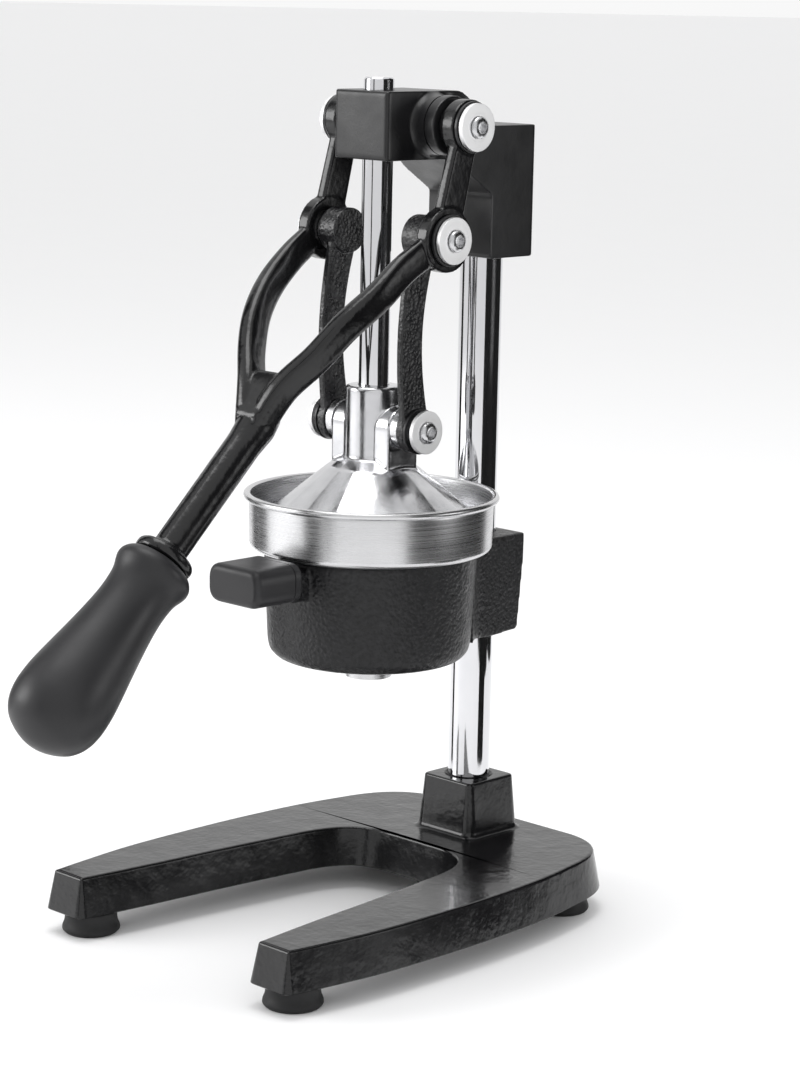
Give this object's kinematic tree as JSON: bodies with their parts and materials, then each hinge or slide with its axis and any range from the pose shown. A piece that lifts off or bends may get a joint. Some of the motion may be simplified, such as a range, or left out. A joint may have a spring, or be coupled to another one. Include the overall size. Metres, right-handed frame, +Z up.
{
  "type": "manual citrus press juicer",
  "caption": "Upright hand lever citrus press: forked handle and links drive a ram and bell down onto a strainer in a steel bowl above a U shaped footed base.",
  "frame": {"origin": "on the floor under the middle of the bounding box", "axes": "+Z up along the column, -Y towards the handle and the user, +X to the right of the press seen from the handle side"},
  "size_m": [0.187, 0.3214, 0.4095],
  "materials": {
    "gloss_paint": "gloss black coating on cast metal",
    "hammered_paint": "black hammered coating on cast metal",
    "foot_rubber": "matt black moulded rubber",
    "soft_grip": "satin black moulded rubber",
    "zinc_steel": "bright zinc plate",
    "chrome_rod": "mirror chrome plate",
    "black_steel": "black oxide",
    "brushed_steel": "brushed stainless steel",
    "polished_aluminium": "polished cast aluminium"
  },
  "bodies": {
    "stand": {"base_casting": "gloss_paint", "foot_front_right": "foot_rubber", "foot_front_left": "foot_rubber", "foot_rear_right": "foot_rubber", "foot_rear_left": "foot_rubber", "foot_screw_front_right": "zinc_steel", "foot_screw_front_left": "zinc_steel", "foot_screw_rear_right": "zinc_steel", "foot_screw_rear_left": "zinc_steel", "column": "chrome_rod", "column_washer": "zinc_steel", "column_bolt": "zinc_steel", "head_casting": "gloss_paint", "head_set_screw_lower": "black_steel", "head_set_screw_upper": "black_steel", "cup_set_screw": "black_steel", "cup_holder": "hammered_paint", "holder_grip": "soft_grip", "juice_bowl": "brushed_steel", "strainer_cone": "brushed_steel", "top_black_washer_right": "black_steel", "top_black_washer_left": "black_steel", "top_washer_right": "brushed_steel", "top_washer_left": "brushed_steel", "top_pivot_screw_right": "zinc_steel", "top_pivot_screw_left": "zinc_steel"},
    "ram": {"ram_rod": "chrome_rod", "press_bell": "polished_aluminium", "lower_spacer_right": "zinc_steel", "lower_spacer_left": "zinc_steel", "lower_black_washer_right": "black_steel", "lower_black_washer_left": "black_steel", "lower_shoulder_right": "zinc_steel", "lower_shoulder_left": "zinc_steel", "lower_washer_right": "brushed_steel", "lower_washer_left": "brushed_steel", "lower_pivot_screw_right": "zinc_steel", "lower_pivot_screw_left": "zinc_steel"},
    "lever": {"lever_casting": "gloss_paint", "lever_grip": "soft_grip", "elbow_spacer_right": "zinc_steel", "elbow_spacer_left": "zinc_steel", "elbow_black_washer_right": "black_steel", "elbow_black_washer_left": "black_steel", "elbow_washer_right": "brushed_steel", "elbow_washer_left": "brushed_steel", "elbow_screw_right": "zinc_steel", "elbow_screw_left": "zinc_steel"},
    "link_right": {"link_right": "hammered_paint"},
    "link_left": {"link_left": "hammered_paint"}
  },
  "joints": [
    {"name": "lever_hinge", "type": "hinge", "parent": "stand", "child": "lever", "pos_m": [0, 0.0725, 0.3877], "axis": [-1, 0, 0], "range_deg": [0, 95]},
    {"name": "ram_slide", "type": "slide", "parent": "stand", "child": "ram", "axis": [0, 0, 1], "range_m": [0, 0.0764]},
    {"name": "link_right_hinge", "type": "hinge", "parent": "ram", "child": "link_right", "pos_m": [0.027, 0.0553, 0.2449], "axis": [1, 0, 0], "range_deg": [0, 23.7]},
    {"name": "link_left_hinge", "type": "hinge", "parent": "ram", "child": "link_left", "pos_m": [-0.027, 0.0553, 0.2449], "axis": [1, 0, 0], "range_deg": [0, 23.7]}
  ],
  "couplings": [
    {"joint": "ram_slide", "follows": "lever_hinge", "m_per_rad": 0.04603},
    {"joint": "link_right_hinge", "follows": "lever_hinge", "ratio": 0.2493},
    {"joint": "link_left_hinge", "follows": "lever_hinge", "ratio": 0.2493}
  ]
}
